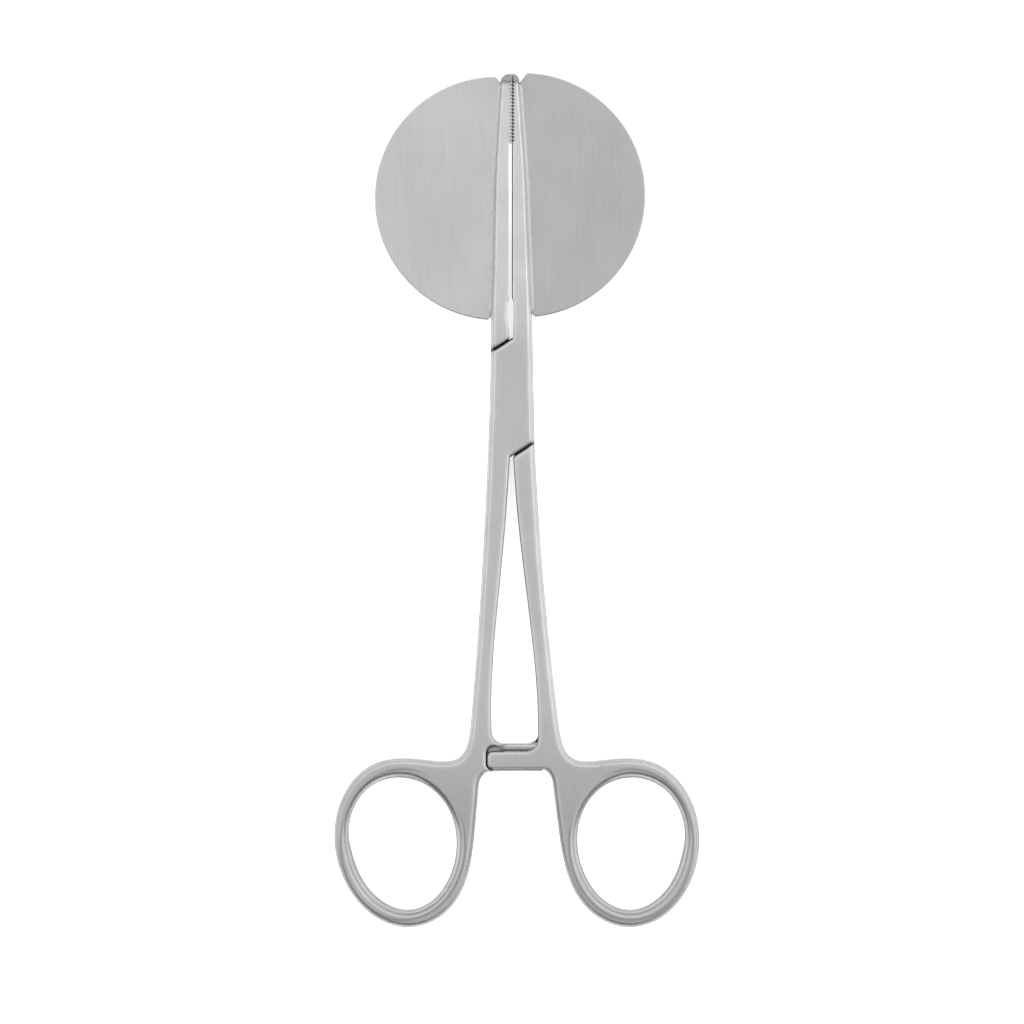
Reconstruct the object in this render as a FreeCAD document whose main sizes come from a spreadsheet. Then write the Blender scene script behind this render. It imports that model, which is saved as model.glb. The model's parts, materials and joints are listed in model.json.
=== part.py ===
import FreeCAD, Part
import math
import os

import Sketcher
from FreeCAD import Vector

# A castration clamp: box-lock forceps whose toothed jaws carry two half-disc plates.
# It lies on its back. The origin is on the pivot axis in the resting plane,
# +Y runs to the jaw tips, +X to the right and +Z is the thickness. All lengths are in millimetres.

SIZES = {
    # Box lock
    "box_thickness": 4.6,
    "box_half_width": 4.06,
    "box_top_half_width": 3.9,
    "box_foot_half_width": 4.32,
    "slit_angle": 33.0,
    "slit_above_pivot": 9.55,
    "slit_below_pivot": 9.0,
    "slit_gap": 0.25,
    "slit_edge_bevel": 0.5,
    "shoulder_bevel": 0.45,
    "tongue_thickness": 1.6,
    "tongue_face_gap": 0.05,
    "tongue_side_gap": 0.12,
    "tongue_root": 1.5,
    "hub_radius": 2.9,
    "pin_radius": 1.1,
    "pin_running_gap": 0.04,
    "opening_limit": 60.0,
    # Jaws
    "jaw_root_above_slit": 4.45,
    "jaw_nose": 59.9,
    "shoulder_below_nose": 18.5,
    "neck_below_nose": 7.6,
    "nose_length": 1.3,
    "right_shoulder_width": 2.8,
    "right_neck_width": 2.0,
    "right_nose_width": 1.45,
    "left_shoulder_width": 3.24,
    "left_neck_width": 2.55,
    "left_nose_width": 2.0,
    "nose_thickness": 2.5,
    "nose_bevel": 0.45,
    "right_inner_bevel": 0.36,
    "left_inner_bevel": 0.2,
    "right_gap_width": 0.06,
    "left_gap_width": 0.45,
    "right_relief_width": 0.42,
    "left_relief_width": 0.87,
    "relief_length": 5.1,
    "relief_corner": 0.8,
    # Serration on the gripping faces
    "closed_gap": 0.04,
    "tooth_pitch": 0.646,
    "tooth_count": 18,
    "tooth_depth": 0.22,
    "tooth_groove_width": 0.4,
    "tooth_end_gap": 0.4,
    # Shanks
    "shank_start": 12.0,
    "shank_out_top": 4.51,
    "shank_out_foot": 8.66,
    "shank_out_flare": 1.8,
    "shank_gap_top": 0.3,
    "shank_gap_neck": 0.65,
    "shank_gap_upper": 1.49,
    "shank_gap_middle": 3.15,
    "shank_gap_lower": 4.31,
    "shank_gap_foot": 4.37,
    "handle_drift": 1.4,
    "handle_bevel": 0.75,
    "shank_inner_bevel": 0.25,
    # Ratchet bars
    "rear_bar_height": 5.05,
    "rear_bar_reach": 6.3,
    "front_bar_top_step": 1.3,
    "front_bar_foot_step": 0.4,
    "front_bar_reach": 4.59,
    "bar_corner": 1.0,
    "bar_inner_radius": 2.4,
    "crotch_radius": 3.3,
    "crotch_overshoot": 0.4,
    "bar_gap": 0.1,
    "seat_gap": 0.22,
    "seat_corner": 1.3,
    "toe_radius": 1.5,
    "ratchet_pitch": 1.5,
    "ratchet_count": 5,
    "ratchet_depth": 0.55,
    "ratchet_first": 5.4,
    # Finger rings
    "ring_drop": 83.3,
    "ring_offset": 21.39,
    "ring_half_width": 12.82,
    "ring_half_height": 15.785,
    "ring_side_wall": 2.755,
    "ring_end_wall": 3.275,
    "ring_hole_sink": 0.21,
    "ring_egg": 0.015,
    "ring_hole_egg": 0.09,
    "ring_lean": 0.039,
    "ring_hole_bevel": 1.0,
    "web_height": 2.73,
    "waist_taper": 1.55,
    # Plates and their brazing seams
    "plate_thickness": 1.0,
    "left_plate_centre_x": 2.83,
    "left_plate_foot_gap": 0.9,
    "left_plate_top_rise": 0.8,
    "left_plate_top_corner": 1.0,
    "right_plate_centre_x": 2.17,
    "right_plate_foot_gap": 1.4,
    "right_plate_top_rise": 1.5,
    "right_plate_top_corner": 1.5,
    "plate_foot_corner": 0.6,
    "plate_rim": 0.2,
    "seam_width": 0.5,
    "seam_height": 0.3,
    "seam_end_gap": 0.4,
}

LEFT = -1
RIGHT = 1

# How far an outline that cuts metal runs out into the air.
CLEAR = 1.0


def side_name(side):
    """The word for a side in the names of sizes and pieces."""
    return "right" if side == RIGHT else "left"


def make_sheet(doc):
    """Put every driving dimension in the spreadsheet and return it."""
    sheet = doc.addObject("Spreadsheet::Sheet", "Sizes")
    for row, (name, number) in enumerate(SIZES.items(), start=1):
        sheet.set(f"A{row}", name)
        sheet.set(f"B{row}", str(number))
        sheet.setAlias(f"B{row}", name)
    doc.recompute()
    return sheet


def new_body(doc, name):
    """Start a named sub-part."""
    body = doc.addObject("PartDesign::Body", name)
    body.Label = name
    return body


def origin_feature(body, role):
    """Find a plane or axis of the body's own origin."""
    return next(item for item in body.Origin.OriginFeatures if item.Role == role)


def new_sketch(body, name, role, shift="0"):
    """Attach an empty sketch to one of the body's origin planes, shifted along its normal."""
    sketch = body.newObject("Sketcher::SketchObject", name)
    sketch.AttachmentSupport = [(origin_feature(body, role), "")]
    sketch.MapMode = "FlatFace"
    sketch.setExpression("AttachmentOffset.Base.z", shift)
    return sketch


def closed_polygon(points):
    """Line segments round a list of points."""
    return [Part.LineSegment(a, b) for a, b in zip(points, points[1:] + points[:1])]


def flat(x, y):
    """A point in a sketch plane."""
    return Vector(x, y, 0)


def smooth(points, start=None):
    """A curve through the points, which leaves the first one in a set direction where one is given."""
    curve = Part.BSplineCurve()
    if start is None:
        curve.interpolate(Points=points)
    else:
        free = len(points) - 1
        curve.interpolate(Points=points, Tangents=[start] + [Vector(1, 0, 0)] * free,
                          TangentFlags=[True] + [False] * free)
    return curve


def leaving(curve):
    """Where a curve ends and in which direction."""
    return curve.value(curve.LastParameter), curve.tangent(curve.LastParameter)[0]


def rounded_corner(curve, height, radius, overshoot=0.0):
    """A straight piece and an arc that carry a curve round onto a level edge, towards the middle.

    An arc whose circle rises beyond the edge stops where it meets the edge.
    """
    start, direction = leaving(curve)
    top = height + math.copysign(overshoot, direction.y)
    corner = start + direction * ((top - start.y) / direction.y)
    along = Vector(-math.copysign(1, corner.x), 0, 0)
    half_turn = direction.getAngle(along) / 2
    arc_start = corner - direction * (radius * math.tan(half_turn))
    bisector = (along - direction).normalize()
    centre = corner + bisector * (radius / math.cos(half_turn))
    half_chord = math.sqrt(max(0.0, radius**2 - (height - centre.y)**2))
    arc_end = flat(centre.x - along.x * half_chord, height)
    arc = Part.Arc(arc_start, centre - bisector * radius, arc_end)
    return [Part.LineSegment(start, arc_start), arc]


def pad(doc, body, sketch, name, length, symmetric=False):
    """Raise a sketch by a length that the sheet drives."""
    feature = body.newObject("PartDesign::Pad", name)
    feature.Profile = sketch
    feature.SideType = "Symmetric" if symmetric else "One side"
    feature.setExpression("Length", length)
    doc.recompute()
    return feature


def check_removed(name, before, after):
    """Stop if a cut left a body as it was: no new face and no metal gone."""
    if len(after.Faces) == len(before.Faces) and after.Volume >= before.Volume:
        raise RuntimeError(f"{name} removed nothing")


def pocket(doc, body, sketch, name, length, symmetric=False, flip=False):
    """Cut a sketch out of the body and make sure that it removed metal."""
    before = body.Shape
    feature = body.newObject("PartDesign::Pocket", name)
    feature.Profile = sketch
    feature.SideType = "Symmetric" if symmetric else "One side"
    feature.Reversed = flip
    feature.setExpression("Length", length)
    doc.recompute()
    check_removed(name, before, body.Shape)
    return feature


def repeat_cut(doc, body, feature, name, role, length, count, backwards=False):
    """Repeat a cut in a row along one of the body's axes."""
    before = body.Shape
    pattern = body.newObject("PartDesign::LinearPattern", name)
    pattern.Originals = [feature]
    pattern.Direction = (origin_feature(body, role), [""])
    pattern.Reversed = backwards
    pattern.setExpression("Length", length)
    pattern.setExpression("Occurrences", count)
    body.Tip = pattern
    doc.recompute()
    check_removed(name, before, body.Shape)
    return pattern


def edges_through(shape, points):
    """Names of the edges that pass through the points."""
    names = []
    margin = 0.01
    for point in points:
        probe = Part.Vertex(point)
        close = []
        for number, edge in enumerate(shape.Edges, start=1):
            room = edge.BoundBox
            room.enlarge(margin)
            if room.isInside(point):
                close.append((edge.distToShape(probe)[0], f"Edge{number}"))
        name = min(close)[1]
        if name not in names:
            names.append(name)
    return names


def bevel(doc, body, base, name, points, size_name):
    """Bevel the edges that pass through the points."""
    feature = body.newObject("PartDesign::Chamfer", name)
    feature.Base = (base, edges_through(base.Shape, points))
    feature.setExpression("Size", f"Sizes.{size_name}")
    doc.recompute()
    return feature


def both_faces(size, curves):
    """A point on each curve's middle, on the back face and on the front face."""
    points = []
    for curve in curves:
        middle = curve.value((curve.FirstParameter + curve.LastParameter) / 2)
        points.append(Vector(middle.x, middle.y, 0))
        points.append(Vector(middle.x, middle.y, size["box_thickness"]))
    return points


def slit_y(size, distance, x):
    """Height of a slit line, at a signed distance from the pivot, over a place x."""
    angle = math.radians(size["slit_angle"])
    return (distance + x * math.sin(angle)) / math.cos(angle)


def jaw_root(size):
    """Height at which the jaws leave the box."""
    return size["slit_above_pivot"] + size["jaw_root_above_slit"]


def bar_heights(size, front):
    """Heights of the top and the foot of the front or the rear ratchet bar."""
    top = size["ring_half_height"] + size["web_height"] - size["ring_drop"]
    foot = top - size["rear_bar_height"]
    if front:
        return top - size["front_bar_top_step"], foot + size["front_bar_foot_step"]
    return top, foot


def drift(size, y):
    """The closed handles lean to the right below the box, more and more towards the rings' foot."""
    length = size["ring_drop"] + size["ring_half_height"] - size["shank_start"]
    share = max(0.0, -size["shank_start"] - y) / length
    return size["handle_drift"] * share * math.sqrt(share)


def handle_point(size, side, half, y):
    """A point of a handle, given by its distance from the line between the two handles."""
    return flat(side * half + drift(size, y), y)


def shank_y(size, share):
    """Height of a station on the shank, from the box (0) to the ratchet bar (1)."""
    bar_top, _ = bar_heights(size, False)
    return share * bar_top - (1 - share) * size["shank_start"]


def shank_outer(size, side, share):
    """A point on the shank's outer edge, which flares towards the rings."""
    top = size["shank_out_top"]
    flare = size["shank_out_flare"]
    half = top + (size["shank_out_foot"] - top - flare) * share + flare * share**2
    return handle_point(size, side, half, shank_y(size, share))


def oval_point(size, side, angle, half_width, half_height, egg):
    """A point on an upright oval round the ring's middle, wider above and leaning outwards."""
    turn = math.radians(angle)
    rise = half_height * math.sin(turn)
    reach = half_width * math.cos(turn) * (1 + egg * math.sin(turn))
    half = size["ring_offset"] + reach + size["ring_lean"] * rise
    return handle_point(size, side, half, rise - size["ring_drop"])


def ring_point(size, side, angle):
    """A point on the outside of a finger ring."""
    return oval_point(size, side, angle, size["ring_half_width"], size["ring_half_height"],
                      size["ring_egg"])


def ring_hole_point(size, side, angle):
    """A point on the edge of a finger hole."""
    half_width = size["ring_half_width"] - size["ring_side_wall"]
    half_height = size["ring_half_height"] - size["ring_end_wall"]
    point = oval_point(size, side, angle, half_width, half_height, size["ring_hole_egg"])
    return point - Vector(0, size["ring_hole_sink"], 0)


def shank_edge(size, side, start_points):
    """Outer edge from the box down the shank, as far as the web."""
    stations = [0.0, 0.27, 0.56, 0.84, 0.91]
    return smooth(start_points + [shank_outer(size, side, share) for share in stations])


def ring_edge(size, side, shank, bar_foot):
    """Edge from the shank over the web, round the outside of the ring and up to the ratchet bar."""
    start, direction = leaving(shank)
    ring_top = size["ring_half_height"] - size["ring_drop"]
    web_width = size["ring_offset"] - size["shank_out_foot"]
    # Shares of the web's width and height, from the shank to the top of the ring
    web = [(0.005, 1.3), (0.057, 0.56), (0.184, -0.04), (0.34, -0.21), (0.577, -0.14), (0.81, -0.02)]
    points = [start]
    points += [handle_point(size, side, size["shank_out_foot"] + across * web_width,
                            ring_top + rise * size["web_height"]) for across, rise in web]
    angles = [70, 45, 20, -5, -30, -60, -90, -120, -145, -165]
    points += [ring_point(size, side, angle) for angle in angles]
    ring_side = size["ring_offset"] - size["ring_half_width"]
    waist_length = bar_foot + size["ring_drop"]
    # Shares of the height from the ring's middle to the bar and of the waist's taper
    waist = [(-0.05, 0.2), (0.245, 0.52), (0.54, 0.79), (0.765, 1.0)]
    points += [handle_point(size, side, ring_side - taper * size["waist_taper"],
                            rise * waist_length - size["ring_drop"]) for rise, taper in waist]
    ring = smooth(points, direction)
    return [ring] + rounded_corner(ring, bar_foot, size["crotch_radius"], size["crotch_overshoot"])


def ring_hole_edge(size, side):
    """Closed edge of the finger hole."""
    curve = Part.BSplineCurve()
    points = [ring_hole_point(size, side, angle) for angle in range(0, 360, 30)]
    curve.interpolate(Points=points, PeriodicFlag=True)
    return curve


def shank_inside(size, side, slit_distance, bar_top):
    """Inner edge from the slit down the shank and round the corner onto the ratchet bar."""
    start_x = side * size["shank_gap_top"]
    start = flat(start_x, slit_y(size, -slit_distance, start_x))
    gaps = [(0.08, "neck"), (0.27, "upper"), (0.56, "middle"), (0.84, "lower"), (0.93, "foot")]
    points = [handle_point(size, side, size[f"shank_gap_{name}"], shank_y(size, share))
              for share, name in gaps]
    neck = Part.LineSegment(start, points[0])
    inside = smooth(points, (points[0] - start).normalize())
    return [neck, inside] + rounded_corner(inside, bar_top, size["bar_inner_radius"])


def turned_back(curve):
    """The same curve, run the other way."""
    if isinstance(curve, Part.Arc):
        first, last = curve.value(curve.FirstParameter), curve.value(curve.LastParameter)
        middle = curve.value((curve.FirstParameter + curve.LastParameter) / 2)
        return Part.Arc(last, middle, first)
    back = curve.copy()
    back.reverse()
    return back


def line_up(curves):
    """Straight edges between the ends of neighbouring curves, so that they close a loop."""
    closed = []
    for curve, following in zip(curves, curves[1:] + curves[:1]):
        closed.append(curve)
        end = curve.value(curve.LastParameter)
        start = following.value(following.FirstParameter)
        if end.distanceToPoint(start) > 1e-6:
            closed.append(Part.LineSegment(end, start))
    return closed


def bar_end(side, reach, top, foot, corner):
    """Rounded free end of a ratchet bar, from its top edge round to its lower edge."""
    slope = math.sqrt(0.5) * corner
    tip = -side * reach
    inner = tip + side * corner
    upper_middle = flat(inner - side * slope, top - corner + slope)
    lower_middle = flat(inner - side * slope, foot + corner - slope)
    upper = Part.Arc(flat(inner, top), upper_middle, flat(tip, top - corner))
    lower = Part.Arc(flat(tip, foot + corner), lower_middle, flat(inner, foot))
    return [upper, lower]


def jaw_heights(size):
    """Heights of a jaw's stations, each with the expression that sets it in the model."""
    nose = size["jaw_nose"]
    return [
        (jaw_root(size), "Sizes.slit_above_pivot + Sizes.jaw_root_above_slit"),
        (nose - size["shoulder_below_nose"], "Sizes.jaw_nose - Sizes.shoulder_below_nose"),
        (nose - size["neck_below_nose"], "Sizes.jaw_nose - Sizes.neck_below_nose"),
        (nose, "Sizes.jaw_nose"),
    ]


def jaw_widths(size, side):
    """Outer width of a jaw at each of its stations."""
    name = side_name(side)
    widths = [size[f"{name}_{place}_width"] for place in ("shoulder", "neck", "nose")]
    return [size["box_top_half_width"]] + widths


def jaw_outer(size, side, y):
    """Outer width of a jaw at a height between its stations."""
    heights = [height for height, _ in jaw_heights(size)]
    widths = jaw_widths(size, side)
    for low, high, low_width, high_width in zip(heights, heights[1:], widths, widths[1:]):
        if low <= y <= high:
            return low_width + (high_width - low_width) * (y - low) / (high - low)
    raise ValueError(f"no jaw at {y}")


def jaw_section(size, side, width, thickness, edge, inner_edge):
    """Cross-section of a jaw: flat gripping face, bevelled corners and an upright outer side."""
    inner = size["closed_gap"] / 2
    low = (size["box_thickness"] - thickness) / 2
    high = low + thickness
    corners = [
        (inner, low + inner_edge),
        (inner, high - inner_edge),
        (inner + inner_edge, high),
        (width - edge, high),
        (width, high - edge),
        (width, low + edge),
        (width - edge, low),
        (inner + inner_edge, low),
    ]
    return [flat(side * x, z) for x, z in corners]


def jaw_sections(size, side):
    """Height, width, thickness, outer and inner bevel of each of a jaw's sections."""
    root = jaw_root(size)
    thinning = size["nose_thickness"] - size["box_thickness"]
    easing = size["nose_bevel"] - size["handle_bevel"]
    inner = size[f"{side_name(side)}_inner_bevel"]
    sections = []
    for (y, height), width in zip(jaw_heights(size), jaw_widths(size, side)):
        share = (y - root) / (size["jaw_nose"] - root)
        thickness = size["box_thickness"] + share * thinning
        sections.append((height, width, thickness, size["handle_bevel"] + share * easing, inner))
    _, width, thickness, edge, _ = sections[-1]
    # Share of the nose's length, and what is left there of the jaw's width and thickness
    for share, across, through in [(0.35, 0.94, 0.9), (0.7, 0.77, 0.68), (1.0, 0.42, 0.3)]:
        height = f"Sizes.jaw_nose + {share} * Sizes.nose_length"
        sections.append((height, width * across, thickness * through, edge * through,
                         inner * through))
    return sections


def loft(doc, body, sketches, name):
    """Join sections that lie one above the other with straight sides."""
    doc.recompute()
    feature = body.newObject("PartDesign::AdditiveLoft", name)
    feature.Profile = sketches[0]
    feature.Sections = sketches[1:]
    feature.Ruled = True
    doc.recompute()


def add_jaw(doc, body, size, side):
    """Loft a jaw from the box to its rounded nose, then cut its gap, relief and teeth."""
    sketches = []
    for number, (height, *measures) in enumerate(jaw_sections(size, side)):
        sketch = new_sketch(body, f"jaw_section_{number}", "XZ_Plane", f"-({height})")
        sketch.addGeometry(closed_polygon(jaw_section(size, side, *measures)))
        sketches.append(sketch)
    loft(doc, body, sketches, "jaw")
    cut_jaw_gap(doc, body, size, side)
    cut_teeth(doc, body, size, side)


def cut_jaw_gap(doc, body, size, side):
    """Set the jaw back behind its teeth, with a longer relief just above the box lock."""
    gap = side * size[f"{side_name(side)}_gap_width"]
    relief = side * size[f"{side_name(side)}_relief_width"]
    top = jaw_root(size) + size["relief_length"]
    slit = size["slit_above_pivot"] + size["slit_gap"] / 2
    foot = flat(side * size["shank_gap_top"], slit_y(size, slit, side * size["shank_gap_top"]))
    teeth_foot = first_tooth(size) - size["tooth_pitch"] * (size["tooth_count"] - 0.5)
    outside = -side * CLEAR
    corners = [flat(gap, top), flat(relief, top - size["relief_corner"]),
               flat(relief, (top + foot.y) / 2), foot,
               flat(outside, slit_y(size, slit, outside)), flat(outside, teeth_foot),
               flat(gap, teeth_foot)]
    sketch = new_sketch(body, "jaw_gap_outline", "XY_Plane", "Sizes.box_thickness / 2")
    sketch.addGeometry(closed_polygon(corners))
    pocket(doc, body, sketch, "jaw_gap", "Sizes.box_thickness * 2", symmetric=True)


def first_tooth(size):
    """Height of the first groove below the nose."""
    return size["jaw_nose"] - size["tooth_end_gap"]


def cut_teeth(doc, body, size, side):
    """Cut the cross serration of the gripping face."""
    face = side * size["closed_gap"] / 2
    root = face + side * size["tooth_depth"]
    half = size["tooth_groove_width"] / 2
    y = first_tooth(size)
    outside = face - side * size["tooth_depth"]
    corners = [flat(outside, y + half), flat(face, y + half), flat(root, y), flat(face, y - half),
               flat(outside, y - half)]
    sketch = new_sketch(body, "tooth_outline", "XY_Plane", "Sizes.box_thickness / 2")
    sketch.addGeometry(closed_polygon(corners))
    groove = pocket(doc, body, sketch, "tooth_groove", "Sizes.box_thickness * 2", symmetric=True)
    repeat_cut(doc, body, groove, "teeth", "Y_Axis", "Sizes.tooth_pitch * (Sizes.tooth_count - 1)",
               "Sizes.tooth_count", backwards=True)


def drill_pin_hole(doc, body, radius):
    """Drill the pivot hole with a radius that the sheet drives."""
    sketch = new_sketch(body, "pin_hole_outline", "XY_Plane", "Sizes.box_thickness / 2")
    sketch.addGeometry(Part.Circle(flat(0, 0), Vector(0, 0, 1), 1))
    sketch.addConstraint(Sketcher.Constraint("Coincident", 0, 3, -1, 1))
    sketch.addConstraint(Sketcher.Constraint("Radius", 0, 1))
    sketch.setExpression("Constraints[1]", radius)
    pocket(doc, body, sketch, "pin_hole", "Sizes.box_thickness * 2", symmetric=True)


def turned(point, angle):
    """A point turned about the pivot."""
    turn = math.radians(angle)
    return flat(point.x * math.cos(turn) - point.y * math.sin(turn),
                point.x * math.sin(turn) + point.y * math.cos(turn))


def crossing(first, second):
    """Where two lines, each given by two points, cross."""
    a, b = first
    c, d = second
    along = b - a
    other = d - c
    share = ((c.x - a.x) * other.y - (c.y - a.y) * other.x) / (along.x * other.y - along.y * other.x)
    return a + along * share


def moved_aside(line, distance):
    """A line moved to its right-hand side."""
    a, b = line
    along = (b - a).normalize()
    aside = Vector(along.y, -along.x, 0) * distance
    return (a + aside, b + aside)


def tongue_lines(size):
    """The four straight sides of the tongue, each from the hub outwards."""
    radius = size["hub_radius"]
    upper = size["slit_above_pivot"] + size["slit_gap"]
    lower = -size["slit_below_pivot"] - size["slit_gap"]
    gap = size["shank_gap_top"] + size["slit_gap"]
    width = size["box_top_half_width"]
    foot_width = size["box_foot_half_width"]
    upper_inner = flat(-gap, slit_y(size, upper, -gap))
    upper_outer = flat(-width, slit_y(size, upper, -width))
    lower_inner = flat(gap, slit_y(size, lower, gap))
    lower_outer = flat(foot_width, slit_y(size, lower, foot_width))

    def tangent(point, way):
        """Where a line from the point touches the hub."""
        lift = math.degrees(math.acos(radius / point.Length))
        start = math.degrees(math.atan2(point.y, point.x))
        return turned(flat(radius, 0), start + way * lift)

    return {
        "upper_inner": (tangent(upper_inner, -1), upper_inner),
        "upper_outer": (tangent(upper_outer, 1), upper_outer),
        "lower_inner": (tangent(lower_inner, -1), lower_inner),
        "lower_outer": (tangent(lower_outer, 1), lower_outer),
    }


def beyond(line, length):
    """The point where a line ends when it is carried on by a length."""
    a, b = line
    return b + (b - a).normalize() * length


def cut_box_slot(doc, body, size):
    """Cut the slot through the box: the space that the tongue sweeps from closed to open."""
    lines = tongue_lines(size)
    gap = size["tongue_side_gap"]
    limit = size["opening_limit"]
    far = 3 * size["box_half_width"]
    upper_inner = moved_aside(lines["upper_inner"], gap)
    lower_inner = moved_aside(lines["lower_inner"], gap)
    upper_open = moved_aside([turned(point, limit) for point in lines["upper_outer"]], -gap)
    lower_open = moved_aside([turned(point, limit) for point in lines["lower_outer"]], -gap)
    reach = 0.5 * size["slit_gap"] + size["slit_edge_bevel"]
    corners = [
        crossing(upper_inner, lower_open),
        beyond(upper_inner, reach),
        flat(-far, jaw_root(size)),
        beyond(upper_open, far),
        crossing(upper_open, lower_inner),
        beyond(lower_inner, reach),
        flat(far, -jaw_root(size)),
        beyond(lower_open, far),
    ]
    sketch = new_sketch(body, "slot_outline", "XY_Plane", "Sizes.box_thickness / 2")
    sketch.addGeometry(closed_polygon(corners))
    pocket(doc, body, sketch, "box_slot", "Sizes.tongue_thickness + 2 * Sizes.tongue_face_gap",
           symmetric=True)


def add_tongue(doc, body, size):
    """The middle third of the male arm, with a round hub, which passes through the box."""
    lines = tongue_lines(size)
    root = size["tongue_root"]
    radius = size["hub_radius"]
    right_start = lines["upper_inner"][0]
    left_start = lines["lower_inner"][0]
    right_end = lines["lower_outer"][0]
    left_end = lines["upper_outer"][0]
    right_middle = (right_start + right_end).normalize() * radius
    left_middle = (left_start + left_end).normalize() * radius
    corners_above = [right_start, lines["upper_inner"][1], beyond(lines["upper_inner"], root),
                     lines["upper_outer"][1], left_end]
    corners_below = [left_start, lines["lower_inner"][1], beyond(lines["lower_inner"], root),
                     lines["lower_outer"][1], right_end]
    sketch = new_sketch(body, "tongue_outline", "XY_Plane", "Sizes.box_thickness / 2")
    for corners in (corners_above, corners_below):
        sketch.addGeometry([Part.LineSegment(a, b) for a, b in zip(corners, corners[1:])])
    sketch.addGeometry(Part.Arc(left_end, left_middle, left_start))
    sketch.addGeometry(Part.Arc(right_end, right_middle, right_start))
    pad(doc, body, sketch, "tongue", "Sizes.tongue_thickness", symmetric=True)


def cut_recess(doc, body, corners, name, front):
    """Cut the seat of the other arm's ratchet bar into this arm, down to the middle of its thickness."""
    shift = "Sizes.box_thickness" if front else "0"
    sketch = new_sketch(body, f"{name}_outline", "XY_Plane", shift)
    sketch.addGeometry(corners)
    depth = "Sizes.box_thickness / 2 + Sizes.bar_gap / 2"
    pocket(doc, body, sketch, name, depth, flip=not front)


def cut_ratchet(doc, body, size, front):
    """Cut the saw teeth of a ratchet bar into the face that meets the other, up to the front bar's top."""
    way = -1 if front else 1
    face = size["box_thickness"] / 2 - way * size["bar_gap"] / 2
    root = face - way * size["ratchet_depth"]
    outside = face + way * size["bar_gap"] / 4
    start = size["ratchet_first"]
    end = start - size["ratchet_pitch"]
    if front:
        overlap = size["rear_bar_reach"] - size["front_bar_reach"]
        start, end = overlap - start, overlap - end
    corners = [flat(start, face), flat(end, root), flat(end, outside), flat(start, outside)]
    bar_foot = "Sizes.ring_drop - Sizes.ring_half_height - Sizes.web_height + Sizes.rear_bar_height"
    sketch = new_sketch(body, "ratchet_tooth_outline", "XZ_Plane", f"{bar_foot} + {CLEAR}")
    sketch.addGeometry(closed_polygon(corners))
    tooth = pocket(doc, body, sketch, "ratchet_tooth",
                   f"Sizes.rear_bar_height - Sizes.front_bar_top_step + {CLEAR}")
    repeat_cut(doc, body, tooth, "ratchet", "X_Axis",
               "Sizes.ratchet_pitch * (Sizes.ratchet_count - 1)", "Sizes.ratchet_count",
               backwards=not front)


def add_toe(doc, body, size, inside, foot):
    """Fillet at the back of the shank's inner edge, just above the other arm's ratchet bar."""
    line, arc = rounded_corner(inside, foot, size["toe_radius"])
    start = leaving(inside)[0]
    end = leaving(arc)[0]
    root = start.x + size["toe_radius"]
    corners = [end, flat(root, foot), flat(root, start.y), start]
    sketch = new_sketch(body, "toe_outline", "XY_Plane")
    sketch.addGeometry([line, arc] + [Part.LineSegment(a, b) for a, b in zip(corners, corners[1:])])
    pad(doc, body, sketch, "toe", "Sizes.box_thickness / 2 - Sizes.bar_gap / 2")


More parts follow.
